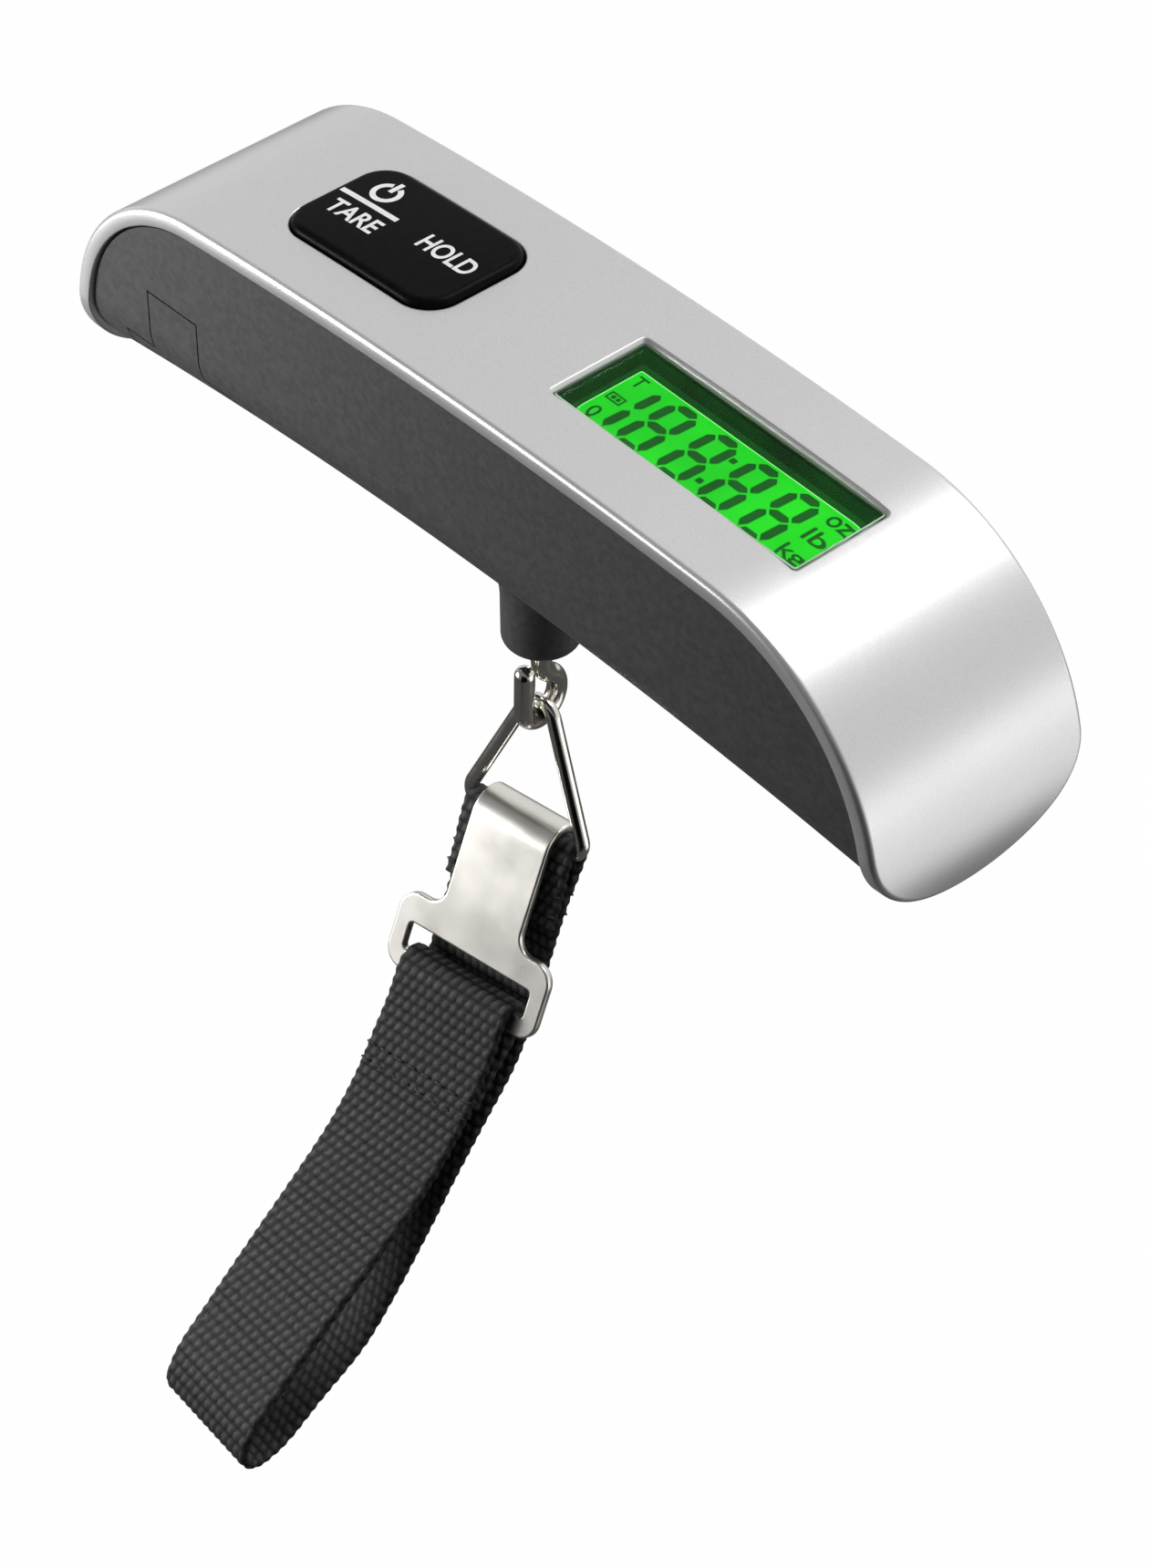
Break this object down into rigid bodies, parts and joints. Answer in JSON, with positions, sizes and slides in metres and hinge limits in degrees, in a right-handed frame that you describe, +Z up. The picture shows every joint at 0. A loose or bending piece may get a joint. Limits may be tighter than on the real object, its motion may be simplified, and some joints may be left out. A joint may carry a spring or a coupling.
{
  "type": "luggage scale",
  "caption": "Hand-held digital luggage scale: arched grip with a lit display, rocker keypad, swivel hook, wire ring and webbing strap with a clasp plate.",
  "frame": {"origin": "on the hook's turning axis, at the height where the grip's straight sides end above its rounded belly", "axes": "+X along the grip towards the display, +Y away from the battery door's latch, +Z up through the top face"},
  "size_m": [0.1598, 0.0905, 0.167],
  "materials": {
    "silver_paint": "satin silver lacquer over moulded plastic",
    "grey_abs": "fine spark texture",
    "key_rubber": "smooth black silicone with printed white signs",
    "black_plastic": "black moulded frame",
    "clear_lens": "clear polished lens",
    "lcd": "lit display glass",
    "light_guide": "milky light guide",
    "white_plastic": "plain moulded",
    "zebra": "layered connector rubber",
    "board": "green solder mask",
    "switch": "pressed steel case",
    "epoxy": "poured epoxy dome",
    "aluminium": "milled bar",
    "gauge_foil": "amber film",
    "zinc_screw": "zinc plated",
    "cell_steel": "nickel plated can",
    "contact": "nickel plated spring strip",
    "lead": "insulated lead",
    "nickel": "bright nickel plated steel",
    "webbing": "ribbed woven polypropylene"
  },
  "bodies": {
    "grip": {"top_cover": "silver_paint", "lower_shell": "grey_abs", "lcd_window": "clear_lens", "display_bezel": "black_plastic", "lcd_glass": "lcd", "lcd_backlight": "light_guide", "lcd_holder": "white_plastic", "zebra_strip": "zebra", "main_board": "board", "tact_switches": "switch", "control_chip": "epoxy", "load_cell": "aluminium", "strain_gauges": "gauge_foil", "load_cell_screws": "zinc_screw", "casing_screws": "zinc_screw", "coin_cell": "cell_steel", "battery_holder": "white_plastic", "contact_negative": "contact", "contact_positive": "contact", "gauge_leads": "lead", "battery_leads": "lead", "hook_washer": "zinc_screw"},
    "rocker": {"keypad": "key_rubber"},
    "door": {"battery_door": "grey_abs"},
    "swivel": {"hook": "nickel", "hook_nut": "zinc_screw"},
    "ring": {"triangle_ring": "nickel"},
    "webbing": {"strap": "webbing"},
    "clasp": {"clasp_plate": "nickel"}
  },
  "joints": [
    {"name": "hook_swivel", "type": "hinge", "parent": "grip", "child": "swivel", "pos_m": [0, 0, -0.03], "axis": [0, 0, 1], "continuous": true},
    {"name": "ring_swing", "type": "hinge", "parent": "swivel", "child": "ring", "pos_m": [0, 0, -0.03917], "axis": [0.9903, 0.1392, 0], "range_deg": [-55, 70]},
    {"name": "clasp_swing", "type": "hinge", "parent": "ring", "child": "clasp", "pos_m": [0.00043, -0.00309, -0.06135], "axis": [0.9903, 0.1392, 0], "range_deg": [-30, 45]},
    {"name": "strap_swing", "type": "hinge", "parent": "clasp", "child": "webbing", "pos_m": [0.00241, -0.01715, -0.08364], "axis": [0.9903, 0.1392, 0], "range_deg": [-20, 20], "deforming": ["strap"]},
    {"name": "keypad_rock", "type": "hinge", "parent": "grip", "child": "rocker", "pos_m": [-0.0278, 0, 0.0205], "axis": [0, 1, 0], "range_deg": [-1.5, 1.5], "stiffness_Nm_per_rad": 0.5},
    {"name": "battery_door", "type": "hinge", "parent": "grip", "child": "door", "pos_m": [-0.0565, 0.01475, -0.0081], "axis": [1, 0, 0], "range_deg": [0, 80]}
  ]
}
